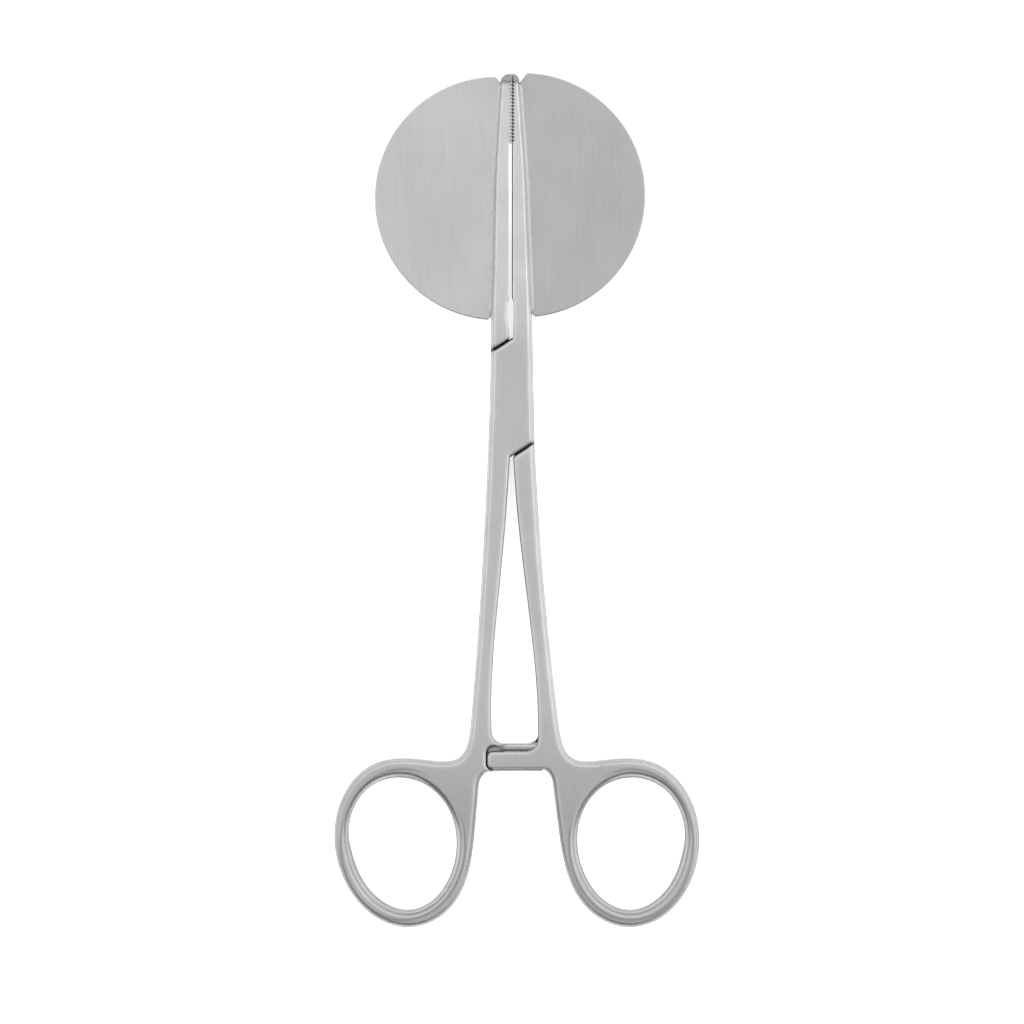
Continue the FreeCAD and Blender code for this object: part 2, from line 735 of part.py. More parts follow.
def build_female_arm(doc, size):
    """Right jaw, box, left shank, rear ratchet bar and left ring, forged in one piece."""
    body = new_body(doc, "female_arm")
    top_width = size["box_top_half_width"]
    foot_width = size["box_foot_half_width"]
    upper = size["slit_above_pivot"]
    lower = size["slit_below_pivot"]
    bar_top, bar_foot = bar_heights(size, False)
    front_foot = bar_heights(size, True)[1]
    inside = shank_inside(size, LEFT, lower, bar_top)
    box_start = [flat(-top_width, slit_y(size, upper, -top_width)), flat(-size["box_half_width"], 0)]
    shank = shank_edge(size, LEFT, box_start)
    ring = ring_edge(size, LEFT, shank, bar_foot)
    box_side = Part.LineSegment(flat(top_width, jaw_root(size)),
                                flat(foot_width, slit_y(size, -lower, foot_width)))
    gap = size["shank_gap_top"]
    jaw_inner = Part.LineSegment(flat(gap, slit_y(size, upper, gap)), flat(gap, jaw_root(size)))
    end = bar_end(LEFT, size["rear_bar_reach"], bar_top, bar_foot, size["bar_corner"])
    back = [turned_back(curve) for curve in reversed([shank] + ring)]
    outline = new_sketch(body, "arm_outline", "XY_Plane")
    outline.addGeometry(line_up([box_side] + inside + end + back + [jaw_inner]))
    hole = ring_hole_edge(size, LEFT)
    outline.addGeometry(hole)
    blank = pad(doc, body, outline, "arm_blank", "Sizes.box_thickness")
    slits = [Part.LineSegment(flat(-top_width, slit_y(size, upper, -top_width)),
                              flat(gap, slit_y(size, upper, gap))),
             Part.LineSegment(flat(-gap, slit_y(size, -lower, -gap)),
                              flat(foot_width, slit_y(size, -lower, foot_width)))]
    slit = bevel(doc, body, blank, "slit_bevel", both_faces(size, slits), "slit_edge_bevel")
    outer = bevel(doc, body, slit, "outer_bevel", both_faces(size, [box_side, shank]),
                  "handle_bevel")
    inner = bevel(doc, body, outer, "inner_bevel", both_faces(size, inside), "shank_inner_bevel")
    bevel(doc, body, inner, "finger_hole_bevel", both_faces(size, [hole]), "ring_hole_bevel")
    seat_reach = size["front_bar_reach"] + size["seat_gap"]
    seat_top = bar_top - size["seat_gap"]
    seat_foot = front_foot - size["seat_gap"]
    far = size["rear_bar_reach"] + CLEAR
    lip_x = leaving(inside[-1])[0].x
    round_end = bar_end(RIGHT, seat_reach, seat_top, seat_foot, size["seat_corner"])
    seat_end_x = leaving(round_end[1])[0].x
    seat = [Part.LineSegment(flat(far, bar_top + CLEAR), flat(lip_x, bar_top + CLEAR)),
            Part.LineSegment(flat(lip_x, bar_top + CLEAR), flat(lip_x, seat_top))]
    seat_close = [Part.LineSegment(flat(seat_end_x, seat_foot), flat(seat_end_x, bar_foot - CLEAR)),
                  Part.LineSegment(flat(seat_end_x, bar_foot - CLEAR), flat(far, bar_foot - CLEAR))]
    cut_recess(doc, body, line_up(seat + round_end + seat_close), "bar_seat", front=True)
    cut_ratchet(doc, body, size, front=False)
    add_jaw(doc, body, size, RIGHT)
    cut_box_slot(doc, body, size)
    drill_pin_hole(doc, body, "Sizes.pin_radius")
    return body


def build_male_arm(doc, size):
    """Left jaw, tongue, right shank, front ratchet bar and right ring, forged in one piece."""
    body = new_body(doc, "male_arm")
    add_tongue(doc, body, size)
    top_width = size["box_top_half_width"]
    foot_width = size["box_foot_half_width"]
    upper = size["slit_above_pivot"] + size["slit_gap"]
    lower = size["slit_below_pivot"] + size["slit_gap"]
    gap = size["shank_gap_top"]
    bar_top, bar_foot = bar_heights(size, True)
    rear_top, rear_foot = bar_heights(size, False)
    inside = shank_inside(size, RIGHT, lower, bar_top)
    box_start = [flat(foot_width, slit_y(size, -lower, foot_width))]
    shank = shank_edge(size, RIGHT, box_start)
    ring = ring_edge(size, RIGHT, shank, bar_foot)
    end = bar_end(RIGHT, size["front_bar_reach"], bar_top, bar_foot, size["bar_corner"])
    back = [turned_back(curve) for curve in reversed([shank] + ring)]
    root_corners = [flat(-top_width, jaw_root(size)), flat(-gap, jaw_root(size)),
                    flat(-gap, slit_y(size, upper, -gap)),
                    flat(-top_width, slit_y(size, upper, -top_width))]
    jaw_side = Part.LineSegment(root_corners[3], root_corners[0])
    outline = new_sketch(body, "arm_outline", "XY_Plane")
    outline.addGeometry(line_up(inside + end + back))
    hole = ring_hole_edge(size, RIGHT)
    outline.addGeometry(hole)
    outline.addGeometry(closed_polygon(root_corners))
    blank = pad(doc, body, outline, "arm_blank", "Sizes.box_thickness")
    shoulder = Part.LineSegment(flat(gap, slit_y(size, -lower, gap)), box_start[0])
    eased = bevel(doc, body, blank, "shoulder_edge", both_faces(size, [shoulder]),
                  "shoulder_bevel")
    outer = bevel(doc, body, eased, "outer_bevel", both_faces(size, [jaw_side, shank]),
                  "handle_bevel")
    inner = bevel(doc, body, outer, "inner_bevel", both_faces(size, inside),
                  "shank_inner_bevel")
    bevel(doc, body, inner, "finger_hole_bevel", both_faces(size, [hole]), "ring_hole_bevel")
    add_toe(doc, body, size, inside[1], rear_top + size["seat_gap"])
    far = -size["front_bar_reach"] - CLEAR
    seat_x = size["rear_bar_reach"] + size["seat_gap"]
    seat_top = rear_top + size["seat_gap"]
    seat_foot = rear_foot - size["seat_gap"]
    seat = closed_polygon([flat(far, seat_top), flat(seat_x, seat_top), flat(seat_x, seat_foot),
                           flat(far, seat_foot)])
    cut_recess(doc, body, seat, "bar_seat", front=False)
    cut_ratchet(doc, body, size, front=True)
    add_jaw(doc, body, size, LEFT)
    drill_pin_hole(doc, body, "Sizes.pin_radius + Sizes.pin_running_gap")
    return body


def build_pin(doc):
    """The pivot pin, ground flush with both faces of the box."""
    pin = doc.addObject("Part::Cylinder", "pivot_pin")
    pin.Label = "pivot_pin"
    pin.setExpression("Radius", "Sizes.pin_radius")
    pin.setExpression("Height", "Sizes.box_thickness")
    return pin


def plate_foot(size, side):
    """Height of a plate's lowest point."""
    return jaw_root(size) + size[f"{side_name(side)}_plate_foot_gap"]


def build_plate(doc, size, side):
    """A half-disc plate whose straight edge follows the outer side of its jaw."""
    name = side_name(side)
    body = new_body(doc, f"{name}_plate")
    foot = plate_foot(size, side)
    radius = (size["jaw_nose"] + size[f"{name}_plate_top_rise"] - foot) / 2
    centre = flat(side * size[f"{name}_plate_centre_x"], foot + radius)
    top_y = size["jaw_nose"] - size["seam_end_gap"]
    top_x = side * (jaw_outer(size, side, top_y) + size[f"{name}_plate_top_corner"])
    arc_top = flat(top_x, centre.y + math.sqrt(radius**2 - (top_x - centre.x)**2))
    foot_x = side * (jaw_outer(size, side, jaw_root(size)) + size["plate_foot_corner"])
    arc_foot = flat(foot_x, centre.y - math.sqrt(radius**2 - (foot_x - centre.x)**2))
    heights = [height for height, _ in jaw_heights(size)]
    jaw_side = [flat(side * jaw_outer(size, side, y), y)
                for y in [arc_foot.y + size["plate_foot_corner"]] + heights[1:3] + [top_y]]
    points = [arc_foot] + jaw_side + [arc_top]
    rim = centre + flat(side * radius, 0)
    sketch = new_sketch(body, "plate_outline", "XY_Plane", "Sizes.box_thickness / 2")
    sketch.addGeometry([Part.LineSegment(a, b) for a, b in zip(points, points[1:])])
    sketch.addGeometry(Part.Arc(arc_top, rim, arc_foot))
    plate = pad(doc, body, sketch, "plate", "Sizes.plate_thickness", symmetric=True)
    half = size["plate_thickness"] / 2
    ends = [rim + Vector(0, 0, size["box_thickness"] / 2 + lift) for lift in (-half, half)]
    bevel(doc, body, plate, "rim_bevel", ends, "plate_rim")
    return body


def build_seam(doc, size, side, front):
    """A brazed seam in the corner between a plate and the side of its jaw."""
    name = side_name(side)
    face = "front" if front else "back"
    body = new_body(doc, f"{name}_seam_{face}")
    way = 1 if front else -1
    base = size["box_thickness"] / 2 + way * size["plate_thickness"] / 2
    rise = base + way * size["seam_height"]
    foot = (plate_foot(size, side) + 2 * size["plate_foot_corner"],
            "Sizes.slit_above_pivot + Sizes.jaw_root_above_slit"
            f" + Sizes.{name}_plate_foot_gap + 2 * Sizes.plate_foot_corner")
    top = (size["jaw_nose"] - 2 * size["seam_end_gap"], "Sizes.jaw_nose - 2 * Sizes.seam_end_gap")
    sketches = []
    for number, (y, height) in enumerate([foot] + jaw_heights(size)[1:3] + [top]):
        inner = side * jaw_outer(size, side, y)
        outer = inner + side * size["seam_width"]
        sketch = new_sketch(body, f"seam_section_{number}", "XZ_Plane", f"-({height})")
        sketch.addGeometry(closed_polygon([flat(inner, base), flat(inner, rise), flat(outer, base)]))
        sketches.append(sketch)
    loft(doc, body, sketches, "seam")
    return body


def check_objects(doc, nodes):
    """Stop if any object failed or any sub-part isn't one valid solid."""
    for item in doc.Objects:
        if "Invalid" in item.State or "Error" in item.State:
            raise RuntimeError(f"{item.Name} failed: {item.State}")
    for node in nodes:
        if node.Shape.isNull() or not node.Shape.isValid():
            raise RuntimeError(f"{node.Label} has no valid shape")
        if len(node.Shape.Solids) != 1:
            raise RuntimeError(f"{node.Label} has {len(node.Shape.Solids)} solids")


def main():
    """Build the clamp and write one STEP file for each sub-part."""
    doc = FreeCAD.newDocument("CastrationClamp")
    sheet = make_sheet(doc)
    size = {name: float(sheet.get(name)) for name in SIZES}
    size["tooth_count"] = int(size["tooth_count"])
    nodes = [build_female_arm(doc, size), build_male_arm(doc, size), build_pin(doc)]
    for side in (LEFT, RIGHT):
        nodes.append(build_plate(doc, size, side))
        for front in (True, False):
            nodes.append(build_seam(doc, size, side, front))
    doc.recompute()
    check_objects(doc, nodes)
    os.makedirs("parts", exist_ok=True)
    for node in nodes:
        node.Shape.exportStep(f"parts/{node.Label}.step")
        print(f"{node.Label}: volume {node.Shape.Volume:.1f} mm3")


main()
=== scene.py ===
"""Dress the castration clamp: satin steel arms, brushed half-disc plates and brazed seams."""

import json
import logging
import math
from dataclasses import dataclass, field, replace
from enum import Enum
from functools import cached_property
from random import Random

import bmesh
import bpy
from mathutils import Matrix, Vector


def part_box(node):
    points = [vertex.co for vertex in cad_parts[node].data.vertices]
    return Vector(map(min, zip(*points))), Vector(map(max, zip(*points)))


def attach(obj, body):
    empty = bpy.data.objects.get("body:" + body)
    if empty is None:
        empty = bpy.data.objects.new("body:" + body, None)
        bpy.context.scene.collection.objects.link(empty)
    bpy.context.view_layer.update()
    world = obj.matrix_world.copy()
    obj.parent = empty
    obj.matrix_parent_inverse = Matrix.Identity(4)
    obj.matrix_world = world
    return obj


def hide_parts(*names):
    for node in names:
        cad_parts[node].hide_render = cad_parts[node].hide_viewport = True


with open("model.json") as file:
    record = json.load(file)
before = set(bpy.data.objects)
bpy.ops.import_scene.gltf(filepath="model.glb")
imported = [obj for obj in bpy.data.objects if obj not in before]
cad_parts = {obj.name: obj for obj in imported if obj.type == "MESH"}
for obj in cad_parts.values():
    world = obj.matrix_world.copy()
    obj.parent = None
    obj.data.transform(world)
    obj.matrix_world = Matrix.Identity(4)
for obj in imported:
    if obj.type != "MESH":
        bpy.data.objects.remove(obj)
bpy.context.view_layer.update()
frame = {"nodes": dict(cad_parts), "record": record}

MM = 0.001
FLOAT = "NodeSocketFloat"
VECTOR = "NodeSocketVector"
LOG = logging.getLogger("clamp")
Colour = tuple[float, float, float]
Point = tuple[float, float, float]


class Side(Enum):
    """Left or right half of the clamp, as the camera sees it."""

    LEFT = -1
    RIGHT = 1

    @property
    def word(self) -> str:
        """Name used at the start of the nodes of this half."""
        return self.name.lower()

    @property
    def body(self) -> str:
        """Body that the plate and seams of this half ride on."""
        return "male_side" if self is Side.LEFT else "female_side"

    @property
    def arm(self) -> str:
        """The arm that ends in the finger ring of this half."""
        return "female_arm" if self is Side.LEFT else "male_arm"


class Face(Enum):
    """Front or back of the clamp."""

    FRONT = 1
    BACK = -1

    @property
    def word(self) -> str:
        """Name used at the end of the nodes on this face."""
        return self.name.lower()


def opaque(colour: object) -> object:
    """Give a plain colour full opacity, and leave a socket as it is."""
    return (*colour, 1) if isinstance(colour, tuple) else colour


class Wires:
    """Adds nodes to a node tree and wires them."""

    def __init__(self, tree: bpy.types.NodeTree) -> None:
        """Keep the tree that is worked on."""
        self.tree = tree

    def add(self, kind: str, **settings: object) -> bpy.types.Node:
        """Add a node.

        Args:
            kind: Blender's name for the type of node.
            **settings: Properties of the node.

        Returns:
            The new node.
        """
        node = self.tree.nodes.new(kind)
        for name, value in settings.items():
            setattr(node, name, value)
        return node

    def join(self, source: object, target: bpy.types.NodeSocket) -> None:
        """Wire a socket into another, or write a plain value there.

        Args:
            source: An output socket or a value.
            target: The input socket.
        """
        if isinstance(source, bpy.types.NodeSocket):
            self.tree.links.new(source, target)
        else:
            target.default_value = source

    def calc(self, operation: str, first: object, second: object = 0.0,
             clamp: bool = False) -> bpy.types.NodeSocket:
        """Add a math node.

        Args:
            operation: Blender's name for the operation.
            first: First socket or number.
            second: Second socket or number.
            clamp: Whether the result is kept between 0 and 1.

        Returns:
            The node's result.
        """
        node = self.add("ShaderNodeMath", operation=operation, use_clamp=clamp)
        self.join(first, node.inputs[0])
        self.join(second, node.inputs[1])
        return node.outputs[0]

    def between(self, share: object, low: float, high: float) -> bpy.types.NodeSocket:
        """Run from one number to another.

        Args:
            share: How far it has run, from 0 to 1.
            low: The number at 0.
            high: The number at 1.

        Returns:
            The number reached.
        """
        reached = self.calc("MULTIPLY_ADD", share, high - low)
        reached.node.inputs[2].default_value = low
        return reached

    def vector(self, operation: str, first: object, second: object = (0, 0, 0)) -> bpy.types.Node:
        """Add a vector math node.

        Args:
            operation: Blender's name for the operation.
            first: First socket or vector.
            second: Second socket or vector.

        Returns:
            The node.
        """
        node = self.add("ShaderNodeVectorMath", operation=operation)
        self.join(first, node.inputs[0])
        self.join(second, node.inputs[1])
        return node

    def split(self, vector: bpy.types.NodeSocket) -> bpy.types.Node:
        """Split a vector.

        Args:
            vector: The vector.

        Returns:
            A node with the outputs X, Y and Z.
        """
        node = self.add("ShaderNodeSeparateXYZ")
        self.join(vector, node.inputs["Vector"])
        return node

    def combine(self, *parts: object) -> bpy.types.NodeSocket:
        """Make a vector.

        Args:
            *parts: Sockets or numbers for X, Y and Z, as many as aren't 0.

        Returns:
            The vector.
        """
        node = self.add("ShaderNodeCombineXYZ")
        for part, socket in zip(parts, node.inputs):
            self.join(part, socket)
        return node.outputs["Vector"]

    def noise(self, place: object, scale: object, detail: float = 2.0,
              roughness: float = 0.5) -> bpy.types.NodeSocket:
        """Add a noise.

        Args:
            place: Vector at which it is read.
            scale: Socket or number that it is scaled by.
            detail: Number of finer layers.
            roughness: Strength of the finer layers.

        Returns:
            The noise, from 0 to 1.
        """
        node = self.add("ShaderNodeTexNoise", noise_dimensions="3D")
        self.join(place, node.inputs["Vector"])
        self.join(scale, node.inputs["Scale"])
        node.inputs["Detail"].default_value = detail
        node.inputs["Roughness"].default_value = roughness
        return node.outputs["Fac"]

    def mix(self, share: object, first: object, second: object) -> bpy.types.NodeSocket:
        """Mix two colours.

        Args:
            share: How much of the second colour there is, from 0 to 1.
            first: First socket or colour.
            second: Second socket or colour.

        Returns:
            The mixed colour.
        """
        node = self.add("ShaderNodeMix", data_type="RGBA")
        self.join(share, node.inputs["Factor"])
        self.join(opaque(first), node.inputs["A"])
        self.join(opaque(second), node.inputs["B"])
        return node.outputs["Result"]

    def span(self, value: object, low: float, high: float) -> bpy.types.NodeSocket:
        """Stretch a range of values to 0 and 1.

        Args:
            value: The socket to read.
            low: The value that gives 0.
            high: The value that gives 1.

        Returns:
            The stretched and clamped value.
        """
        node = self.add("ShaderNodeMapRange")
        self.join(value, node.inputs["Value"])
        node.inputs["From Min"].default_value = low
        node.inputs["From Max"].default_value = high
        return node.outputs["Result"]


def frame_millimetres(wires: Wires) -> bpy.types.NodeSocket:
    """Place on the piece in millimetres, which moves with the piece.

    Args:
        wires: The tree to work in.

    Returns:
        The place as a vector.
    """
    place = wires.add("ShaderNodeTexCoord").outputs["Object"]
    return wires.vector("MULTIPLY", place, (1 / MM,) * 3).outputs["Vector"]


class Effect:
    """A shader node group that several materials share. A subclass names its sockets."""

    name = ""
    inputs: dict[str, float] = {}
    outputs: dict[str, str] = {}

    def fill(self, wires: Wires, given: bpy.types.Node, result: bpy.types.Node) -> None:
        """Wire the inside of the group.

        Args:
            wires: The group's tree.
            given: The group's input node.
            result: The group's output node.
        """
        raise NotImplementedError

    def group(self) -> bpy.types.NodeTree:
        """Build the group the first time and find it again later.

        Returns:
            The node group.
        """
        found = bpy.data.node_groups.get(self.name)
        if found:
            return found
        tree = bpy.data.node_groups.new(self.name, "ShaderNodeTree")
        for name, value in self.inputs.items():
            socket = tree.interface.new_socket(name, in_out="INPUT", socket_type=FLOAT)
            socket.default_value = value
        for name, kind in self.outputs.items():
            tree.interface.new_socket(name, in_out="OUTPUT", socket_type=kind)
        wires = Wires(tree)
        self.fill(wires, wires.add("NodeGroupInput"), wires.add("NodeGroupOutput"))
        return tree

    def place(self, wires: Wires, **values: float) -> bpy.types.Node:
        """Put the group into a material.

        Args:
            wires: The material's tree.
            **values: Input values, with underscores for spaces in their names.

        Returns:
            The group's node.
        """
        node = wires.add("ShaderNodeGroup", node_tree=self.group())
        for name, value in values.items():
            node.inputs[name.replace("_", " ")].default_value = value
        return node


class BrushedGrain(Effect):
    """Fine lines left by the brushing wheel, along the length of the clamp."""

    name = "brushed grain"
    inputs = {"Line width": 0.3, "Line length": 12.0, "Waviness": 0.1}
    outputs = {"Grain": FLOAT}
    bend_scale = 0.12
    detail = 3.0
    roughness = 0.65
    contrast = (0.25, 0.75)

    def fill(self, wires: Wires, given: bpy.types.Node, result: bpy.types.Node) -> None:
        """Stretch a noise along the clamp and bend its lines a little.

        Args:
            wires: The group's tree.
            given: The group's input node.
            result: The group's output node.
        """
        place = frame_millimetres(wires)
        bend = wires.calc("SUBTRACT", wires.noise(place, self.bend_scale), 0.5)
        aside = wires.combine(wires.calc("MULTIPLY", bend, given.outputs["Waviness"]))
        bent = wires.vector("ADD", place, aside).outputs["Vector"]
        width, length = (wires.calc("DIVIDE", 1.0, given.outputs[size])
                         for size in ("Line width", "Line length"))
        steps = wires.combine(width, length, width)
        stretched = wires.vector("MULTIPLY", bent, steps).outputs["Vector"]
        lines = wires.noise(stretched, 1.0, self.detail, self.roughness)
        wires.join(wires.span(lines, *self.contrast), result.inputs["Grain"])


class Speckle(Effect):
    """An even noise of one size. A subclass names its size and its mask."""

    contrast = (0.25, 0.75)

    def fill(self, wires: Wires, given: bpy.types.Node, result: bpy.types.Node) -> None:
        """Scale a noise to the size that is given.

        Args:
            wires: The group's tree.
            given: The group's input node.
            result: The group's output node.
        """
        size = next(iter(self.inputs))
        mask = next(iter(self.outputs))
        scale = wires.calc("DIVIDE", 1.0, given.outputs[size])
        noise = wires.noise(frame_millimetres(wires), scale)
        wires.join(wires.span(noise, *self.contrast), result.inputs[mask])


class SatinBlast(Speckle):
    """Even fine pitting of a blasted satin surface."""

    name = "satin blast"
    inputs = {"Pit size": 0.12}
    outputs = {"Pits": FLOAT}


class Handling(Speckle):
    """Broad, faint clouds where the polish and the touch of hands differ."""

    name = "handling"
    inputs = {"Cloud size": 9.0}
    outputs = {"Cloud": FLOAT}
    contrast = (0.3, 0.7)


class SoftEdges(Effect):
    """Edges that the polisher has rounded, with masks of their steep outer rim and of the flanks."""

    name = "soft edges"
    inputs = {"Radius": 0.0003}
    outputs = {"Normal": VECTOR, "Edge": FLOAT, "Rim": FLOAT, "Flank": FLOAT}
    samples = 10
    turned_range = (1.0, 0.9)
    steep_range = (0.74, 0.48)
    flank_range = (0.5, 0.2)

    def fill(self, wires: Wires, given: bpy.types.Node, result: bpy.types.Node) -> None:
        """Round the normal, compare it with the flat one and see how steep it is.

        Args:
            wires: The group's tree.
            given: The group's input node.
            result: The group's output node.
        """
        bevel = wires.add("ShaderNodeBevel", samples=self.samples)
        wires.join(given.outputs["Radius"], bevel.inputs["Radius"])
        rounded = bevel.outputs["Normal"]
        plain = wires.add("ShaderNodeNewGeometry").outputs["Normal"]
        alike = wires.vector("DOT_PRODUCT", rounded, plain).outputs["Value"]
        edge = wires.span(alike, *self.turned_range)
        steep = wires.span(self.upright(wires, rounded), *self.steep_range)
        wires.join(rounded, result.inputs["Normal"])
        wires.join(edge, result.inputs["Edge"])
        wires.join(wires.calc("MULTIPLY", edge, steep), result.inputs["Rim"])
        wires.join(wires.span(self.upright(wires, plain), *self.flank_range),
                   result.inputs["Flank"])

    def upright(self, wires: Wires, normal: bpy.types.NodeSocket) -> bpy.types.NodeSocket:
        """How squarely a normal faces the front or the back.

        Args:
            wires: The group's tree.
            normal: The normal.

        Returns:
            A number from 0 to 1.
        """
        return wires.calc("ABSOLUTE", wires.split(normal).outputs["Z"])


class Crevices(Effect):
    """A mask of the slits, gaps and tooth roots, where shade is painted into the colour."""

    name = "crevices"
    inputs = {"Reach": 0.0008}
    outputs = {"Depth": FLOAT}
    samples = 8
    open_range = (0.42, 0.12)

    def fill(self, wires: Wires, given: bpy.types.Node, result: bpy.types.Node) -> None:
        """Turn the share of open space round a point into a depth.

        Args:
            wires: The group's tree.
            given: The group's input node.
            result: The group's output node.
        """
        open_space = wires.add("ShaderNodeAmbientOcclusion", samples=self.samples)
        wires.join(given.outputs["Reach"], open_space.inputs["Distance"])
        wires.join(wires.span(open_space.outputs["AO"], *self.open_range), result.inputs["Depth"])


class PivotFace(Effect):
    """A mask that leaves out the face of the pivot pin, which is ground flush and nearly invisible."""

    name = "pivot face"
    inputs = {"Inside": 1.9, "Outside": 2.6}
    outputs = {"Away": FLOAT}

    def fill(self, wires: Wires, given: bpy.types.Node, result: bpy.types.Node) -> None:
        """Measure how far a point is from the pivot axis.

        Args:
            wires: The group's tree.
            given: The group's input node.
            result: The group's output node.
        """
        flat = wires.vector("MULTIPLY", frame_millimetres(wires), (1, 1, 0)).outputs["Vector"]
        far = wires.vector("LENGTH", flat).outputs["Value"]
        beyond = wires.calc("SUBTRACT", far, given.outputs["Inside"])
        width = wires.calc("SUBTRACT", given.outputs["Outside"], given.outputs["Inside"])
        wires.join(wires.calc("DIVIDE", beyond, width, clamp=True), result.inputs["Away"])


class RingCrown(Effect):
    """The ground back of a finger ring, which falls towards its hole, with masks of a painted shade
    line along its rim and of painted shade near its hole.
    """

    name = "ring crown"
    inputs = {"Centre X": 0.0, "Centre Y": 0.0, "Half width": 12.8, "Half height": 15.6,
              "Wall": 3.0, "Rim": 1.2, "Web side": 1.0}
    outputs = {"Height": FLOAT, "Line": FLOAT, "Hole shade": FLOAT}
    diagonal = math.sqrt(0.5)
    web_fade = (0.98, 0.8)
    deepest = 1.3
    line_width = 0.3
    shade_inset = 0.55
    shade_width = 0.5
    shade_range = (0.1, 0.75)
    full_share = 0.1

    def fill(self, wires: Wires, given: bpy.types.Node, result: bpy.types.Node) -> None:
        """Measure how far inside the ring's outline a point is, and fade out at the web.

        Args:
            wires: The group's tree.
            given: The group's input node.
            result: The group's output node.
        """
        place = wires.split(frame_millimetres(wires))
        half_width = given.outputs["Half width"]
        rim = given.outputs["Rim"]
        across = wires.calc("SUBTRACT", place.outputs["X"], given.outputs["Centre X"])
        along = wires.calc("SUBTRACT", place.outputs["Y"], given.outputs["Centre Y"])
        round_place = wires.combine(wires.calc("DIVIDE", across, half_width),
                                    wires.calc("DIVIDE", along, given.outputs["Half height"]))
        radius = wires.vector("LENGTH", round_place).outputs["Value"]
        inward = wires.calc("MULTIPLY", wires.calc("SUBTRACT", 1.0, radius), half_width)
        outward = wires.vector("NORMALIZE", round_place).outputs["Vector"]
        web_way = wires.combine(wires.calc("MULTIPLY", given.outputs["Web side"], self.diagonal),
                                self.diagonal)
        towards = wires.vector("DOT_PRODUCT", outward, web_way).outputs["Value"]
        kept = wires.span(towards, *self.web_fade)
        fall = wires.calc("DIVIDE", wires.calc("SUBTRACT", inward, rim),
                          wires.calc("SUBTRACT", given.outputs["Wall"], rim))
        limited = wires.calc("MINIMUM", wires.calc("MAXIMUM", fall, 0.0), self.deepest)
        crown = wires.calc("MULTIPLY", wires.calc("MULTIPLY", limited, limited), kept)
        wires.join(wires.calc("MULTIPLY", crown, -1.0), result.inputs["Height"])
        line = self.band(wires, inward, rim, self.line_width)
        wires.join(wires.calc("MULTIPLY", line, kept), result.inputs["Line"])
        over_hole = wires.span(wires.split(outward).outputs["Y"], *self.shade_range)
        hole_edge = wires.calc("SUBTRACT", given.outputs["Wall"], self.shade_inset)
        shade = self.band(wires, inward, hole_edge, self.shade_width)
        wires.join(wires.calc("MULTIPLY", shade, over_hole), result.inputs["Hole shade"])

    def band(self, wires: Wires, inward: bpy.types.NodeSocket, middle: bpy.types.NodeSocket,
             width: float) -> bpy.types.NodeSocket:
        """A soft line that runs round the ring.

        Args:
            wires: The group's tree.
            inward: Distance inside the ring's outline.
            middle: Distance at which the line runs.
            width: Distance from the line's middle to where it has faded out.

        Returns:
            A mask from 0 to 1.
        """
        off = wires.calc("ABSOLUTE", wires.calc("SUBTRACT", inward, middle))
        return wires.span(off, width, self.full_share * width)


class ToothRoots(Effect):
    """A mask of painted shade at the roots between the teeth, at the line where the jaws meet."""

    name = "tooth roots"
    inputs = {"First": 59.5, "Pitch": 0.646, "Count": 18.0}
    outputs = {"Root": FLOAT}
    spot_range = (0.25, 0.16)
    line_range = (0.6, 0.45)

    def fill(self, wires: Wires, given: bpy.types.Node, result: bpy.types.Node) -> None:
        """Repeat a small spot at every tooth.

        Args:
            wires: The group's tree.
            given: The group's input node.
            result: The group's output node.
        """
        place = wires.split(frame_millimetres(wires))
        below = wires.calc("SUBTRACT", given.outputs["First"], place.outputs["Y"])
        number = wires.calc("DIVIDE", below, given.outputs["Pitch"])
        off = wires.calc("ABSOLUTE", wires.calc("SUBTRACT", number, wires.calc("ROUND", number)))
        distance = wires.calc("MULTIPLY", off, given.outputs["Pitch"])
        spot = wires.span(distance, *self.spot_range)
        near = wires.span(wires.calc("ABSOLUTE", place.outputs["X"]), *self.line_range)
        started = wires.calc("GREATER_THAN", number, -0.5)
        last = wires.calc("SUBTRACT", given.outputs["Count"], 0.5)
        toothed = wires.calc("MULTIPLY", started, wires.calc("LESS_THAN", number, last))
        wires.join(wires.calc("MULTIPLY", toothed, wires.calc("MULTIPLY", spot, near)),
                   result.inputs["Root"])


class Zone(Effect):
    """A smooth change of finish, or of painted light or shade, from one height along the clamp to
    another.
    """

    name = "zone"
    inputs = {"From": 10.0, "To": 20.0}
    outputs = {"Share": FLOAT}

    def fill(self, wires: Wires, given: bpy.types.Node, result: bpy.types.Node) -> None:
        """Read the height on the clamp and stretch it between the two ends.

        Args:
            wires: The group's tree.
            given: The group's input node.
            result: The group's output node.
        """
        place = wires.split(frame_millimetres(wires))
        above = wires.calc("SUBTRACT", place.outputs["Y"], given.outputs["From"])
        length = wires.calc("SUBTRACT", given.outputs["To"], given.outputs["From"])
        wires.join(wires.calc("DIVIDE", above, length, clamp=True), result.inputs["Share"])


